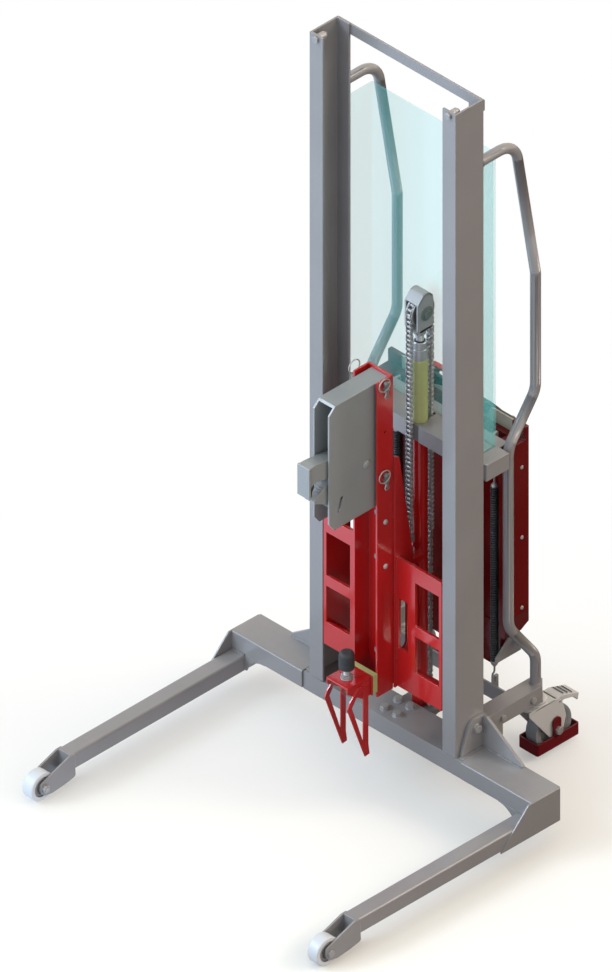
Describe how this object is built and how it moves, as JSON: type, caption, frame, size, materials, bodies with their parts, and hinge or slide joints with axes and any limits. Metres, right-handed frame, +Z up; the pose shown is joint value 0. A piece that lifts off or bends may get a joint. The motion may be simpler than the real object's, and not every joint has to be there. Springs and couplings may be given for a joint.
{
  "type": "electric drum stacker",
  "caption": "Straddle-base drum stacker: twin-channel mast, hydraulic chain lift, rim gripper, rear power pack and braked casters.",
  "frame": {"origin": "on the floor, at the centre of the footprint's bounding box", "axes": "+Z up; -Y towards the straddle legs and gripper; +Y towards the operator; +X across"},
  "size_m": [0.998, 1.103, 1.964],
  "materials": {
    "frame_grey": "semi-gloss grey paint",
    "jaw_grey": "satin grey paint",
    "carriage_red": "gloss red paint",
    "hood_red": "gloss dark red paint",
    "toe_red": "gloss dark red paint",
    "guard_clear": "clear polycarbonate with a faint cyan tint",
    "zinc": "bright zinc plate",
    "chain_steel": "oiled steel",
    "rod_chrome": "ground chrome",
    "cylinder_olive": "satin olive yellow paint",
    "black_rubber": "matt",
    "black_steel": "satin black",
    "roller_white": "off-white polyurethane",
    "caster_tyre": "dark grey polyurethane",
    "console_black": "textured black",
    "console_beige": "warm grey",
    "battery_case": "moulded polypropylene",
    "tank_white": "translucent polyethylene",
    "pump_grey": "painted casting",
    "stop_red": "gloss",
    "button_green": "gloss",
    "button_white": "gloss"
  },
  "bodies": {
    "chassis": {"base_crossbeam": "frame_grey", "outrigger_left": "frame_grey", "outrigger_right": "frame_grey", "mast_post_left": "frame_grey", "mast_post_right": "frame_grey", "top_bar": "frame_grey", "hex_bolts": "zinc", "rear_arm_left": "frame_grey", "rear_arm_right": "frame_grey", "rear_cross_plate": "frame_grey", "frame_tray": "frame_grey", "guard_panel": "guard_clear", "handle_left": "frame_grey", "handle_right": "frame_grey", "cylinder_barrel": "carriage_red", "cylinder_sleeve": "cylinder_olive", "hydraulic_pipe": "black_rubber", "chain_fixed_strand": "chain_steel", "tension_springs": "black_steel", "hood_shell": "hood_red", "hood_pan": "frame_grey", "console_back": "console_beige", "control_panel": "console_black", "battery": "battery_case", "pump_unit": "pump_grey", "oil_tank": "tank_white"},
    "lift_rod": {"piston_rod": "rod_chrome", "sheave_yoke": "jaw_grey", "chain_rear_strand": "chain_steel"},
    "chain_sheave": {"sheave": "chain_steel"},
    "carriage": {"carriage_frame": "carriage_red", "chain_anchor": "zinc", "chain_front_strand": "chain_steel", "attachment_column": "carriage_red", "locking_pins": "zinc", "head_housing": "jaw_grey", "rest_bracket": "carriage_red", "rest_spacer": "cylinder_olive", "rest_bumper": "black_rubber"},
    "carriage_roller_1": {"carriage_roller_1": "chain_steel"},
    "carriage_roller_2": {"carriage_roller_2": "chain_steel"},
    "carriage_roller_3": {"carriage_roller_3": "chain_steel"},
    "carriage_roller_4": {"carriage_roller_4": "chain_steel"},
    "upper_jaw": {"upper_jaw": "jaw_grey", "jaw_pad": "black_rubber"},
    "lower_jaw": {"lower_jaw": "jaw_grey"},
    "leg_roller_left": {"leg_roller_left": "roller_white"},
    "leg_roller_right": {"leg_roller_right": "roller_white"},
    "caster_left": {"caster_fork_left": "jaw_grey", "toe_guard_left": "toe_red"},
    "caster_right": {"caster_fork_right": "jaw_grey", "toe_guard_right": "toe_red"},
    "caster_wheel_left": {"caster_wheel_left": "caster_tyre"},
    "caster_wheel_right": {"caster_wheel_right": "caster_tyre"},
    "brake_left": {"brake_pedal_left": "jaw_grey"},
    "brake_right": {"brake_pedal_right": "jaw_grey"},
    "stop_button": {"stop_button": "stop_red"},
    "key_switch": {"key_switch": "zinc"},
    "raise_button": {"raise_button": "button_green"},
    "lower_button": {"lower_button": "button_white"}
  },
  "joints": [
    {"name": "lift", "type": "slide", "parent": "chassis", "child": "carriage", "axis": [0, 0, 1], "range_m": [0, 1.18], "deforming": ["chain_front_strand"]},
    {"name": "rod_lift", "type": "slide", "parent": "chassis", "child": "lift_rod", "axis": [0, 0, 1], "range_m": [0, 0.59]},
    {"name": "sheave_spin", "type": "hinge", "parent": "lift_rod", "child": "chain_sheave", "pos_m": [0, 0.2726, 1.231], "axis": [1, 0, 0], "range_deg": [-994, 0]},
    {"name": "roller_spin_1", "type": "hinge", "parent": "carriage", "child": "carriage_roller_1", "pos_m": [-0.216, 0.196, 0.3], "axis": [1, 0, 0], "range_deg": [-1711, 0]},
    {"name": "roller_spin_2", "type": "hinge", "parent": "carriage", "child": "carriage_roller_2", "pos_m": [-0.216, 0.196, 0.565], "axis": [1, 0, 0], "range_deg": [0, 1711]},
    {"name": "roller_spin_3", "type": "hinge", "parent": "carriage", "child": "carriage_roller_3", "pos_m": [0.216, 0.196, 0.3], "axis": [1, 0, 0], "range_deg": [-1711, 0]},
    {"name": "roller_spin_4", "type": "hinge", "parent": "carriage", "child": "carriage_roller_4", "pos_m": [0.216, 0.196, 0.565], "axis": [1, 0, 0], "range_deg": [0, 1711]},
    {"name": "upper_jaw_tilt", "type": "hinge", "parent": "carriage", "child": "upper_jaw", "pos_m": [0, 0.07, 0.905], "axis": [1, 0, 0], "range_deg": [-25, 0]},
    {"name": "lower_jaw_slide", "type": "slide", "parent": "carriage", "child": "lower_jaw", "axis": [0, -0.29, -0.957], "range_m": [0, 0.0345]},
    {"name": "leg_roller_left_spin", "type": "hinge", "parent": "chassis", "child": "leg_roller_left", "pos_m": [-0.469, -0.514, 0.0375], "axis": [1, 0, 0], "continuous": true},
    {"name": "caster_left_swivel", "type": "hinge", "parent": "chassis", "child": "caster_left", "pos_m": [-0.222, 0.433, 0.15], "axis": [0, 0, 1], "continuous": true},
    {"name": "caster_wheel_left_spin", "type": "hinge", "parent": "caster_left", "child": "caster_wheel_left", "pos_m": [-0.222, 0.474, 0.06], "axis": [1, 0, 0], "continuous": true},
    {"name": "brake_left_pedal", "type": "hinge", "parent": "caster_left", "child": "brake_left", "pos_m": [-0.222, 0.487, 0.132], "axis": [1, 0, 0], "range_deg": [-10, 0]},
    {"name": "leg_roller_right_spin", "type": "hinge", "parent": "chassis", "child": "leg_roller_right", "pos_m": [0.469, -0.514, 0.0375], "axis": [1, 0, 0], "continuous": true},
    {"name": "caster_right_swivel", "type": "hinge", "parent": "chassis", "child": "caster_right", "pos_m": [0.222, 0.433, 0.15], "axis": [0, 0, 1], "continuous": true},
    {"name": "caster_wheel_right_spin", "type": "hinge", "parent": "caster_right", "child": "caster_wheel_right", "pos_m": [0.222, 0.474, 0.06], "axis": [1, 0, 0], "continuous": true},
    {"name": "brake_right_pedal", "type": "hinge", "parent": "caster_right", "child": "brake_right", "pos_m": [0.222, 0.487, 0.132], "axis": [1, 0, 0], "range_deg": [-10, 0]},
    {"name": "stop_press", "type": "slide", "parent": "chassis", "child": "stop_button", "axis": [0, -0.7543, -0.6566], "range_m": [0, 0.004]},
    {"name": "key_turn", "type": "hinge", "parent": "chassis", "child": "key_switch", "pos_m": [-0.06, 0.43883, 0.90929], "axis": [0, 0.7543, 0.6566], "range_deg": [0, 90]},
    {"name": "raise_press", "type": "slide", "parent": "chassis", "child": "raise_button", "axis": [0, -0.7543, -0.6566], "range_m": [0, 0.003], "stiffness_N_per_m": 300},
    {"name": "lower_press", "type": "slide", "parent": "chassis", "child": "lower_button", "axis": [0, -0.7543, -0.6566], "range_m": [0, 0.003], "stiffness_N_per_m": 300}
  ],
  "couplings": [
    {"joint": "rod_lift", "follows": "lift", "ratio": 0.5},
    {"joint": "sheave_spin", "follows": "lift", "rad_per_m": -14.7},
    {"joint": "roller_spin_1", "follows": "lift", "rad_per_m": -25.3},
    {"joint": "roller_spin_2", "follows": "lift", "rad_per_m": 25.3},
    {"joint": "roller_spin_3", "follows": "lift", "rad_per_m": -25.3},
    {"joint": "roller_spin_4", "follows": "lift", "rad_per_m": 25.3},
    {"joint": "lower_jaw_slide", "follows": "upper_jaw_tilt", "m_per_rad": -0.079}
  ]
}
